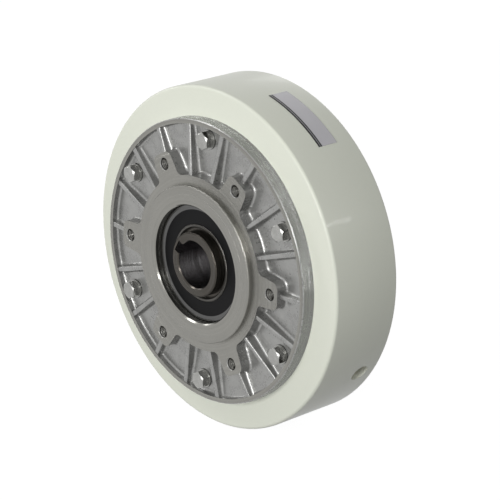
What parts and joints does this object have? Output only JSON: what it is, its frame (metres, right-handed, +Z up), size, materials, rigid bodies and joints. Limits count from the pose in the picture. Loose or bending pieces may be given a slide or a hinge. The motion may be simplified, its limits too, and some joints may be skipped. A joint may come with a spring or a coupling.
{
  "type": "magnetic powder brake",
  "caption": "Flange-mounted magnetic powder brake: a cream field body between ribbed cast end covers, with a hollow keyed shaft on sealed ball bearings.",
  "frame": {"origin": "on the shaft axis, in the middle of the field body's width", "axes": "the shaft lies along Y, the mounting end with its pilot faces -Y, +Z is up"},
  "size_m": [0.219, 0.082, 0.219],
  "materials": {
    "body_paint": "semi-gloss cream paint",
    "cast_aluminium": "die-cast, with turned faces",
    "zinc_steel": "zinc plated",
    "shaft_steel": "turned, lightly oiled",
    "rotor_steel": "turned",
    "bearing_steel": "ground and polished",
    "seal_rubber": "moulded, satin",
    "cage_plastic": "moulded",
    "coil_copper": "enamelled winding",
    "former_plastic": "moulded",
    "spacer_brass": "turned",
    "iron_powder": "dry powder",
    "felt": "wool felt"
  },
  "bodies": {
    "stator": {"field_yoke": "body_paint", "yoke_end_ring": "body_paint", "spacer_ring": "spacer_brass", "coil_former": "former_plastic", "coil": "coil_copper", "powder_charge": "iron_powder", "front_cover": "cast_aluminium", "front_screws": "zinc_steel", "front_spring_washers": "zinc_steel", "front_flat_washers": "zinc_steel", "rear_cover": "cast_aluminium", "rear_screws": "zinc_steel", "rear_spring_washers": "zinc_steel", "rear_flat_washers": "zinc_steel", "front_seal_plate": "zinc_steel", "front_felt_ring": "felt", "rear_seal_plate": "zinc_steel", "rear_felt_ring": "felt", "front_outer_ring": "bearing_steel", "front_bearing_seals": "seal_rubber", "rear_outer_ring": "bearing_steel", "rear_bearing_seals": "seal_rubber"},
    "rotor": {"hollow_shaft": "shaft_steel", "rotor_drum": "rotor_steel", "rotor_screws": "zinc_steel", "front_inner_ring": "bearing_steel", "rear_inner_ring": "bearing_steel"},
    "front_ball_set": {"front_balls": "bearing_steel", "front_cage": "cage_plastic"},
    "rear_ball_set": {"rear_balls": "bearing_steel", "rear_cage": "cage_plastic"}
  },
  "joints": [
    {"name": "rotor_spin", "type": "hinge", "parent": "stator", "child": "rotor", "pos_m": [0, 0, 0], "axis": [0, -1, 0], "continuous": true},
    {"name": "front_ball_orbit", "type": "hinge", "parent": "stator", "child": "front_ball_set", "pos_m": [0, -0.0278, 0], "axis": [0, -1, 0], "continuous": true},
    {"name": "rear_ball_orbit", "type": "hinge", "parent": "stator", "child": "rear_ball_set", "pos_m": [0, 0.0278, 0], "axis": [0, -1, 0], "continuous": true}
  ],
  "couplings": [
    {"joint": "front_ball_orbit", "follows": "rotor_spin", "ratio": 0.43},
    {"joint": "rear_ball_orbit", "follows": "rotor_spin", "ratio": 0.43}
  ]
}
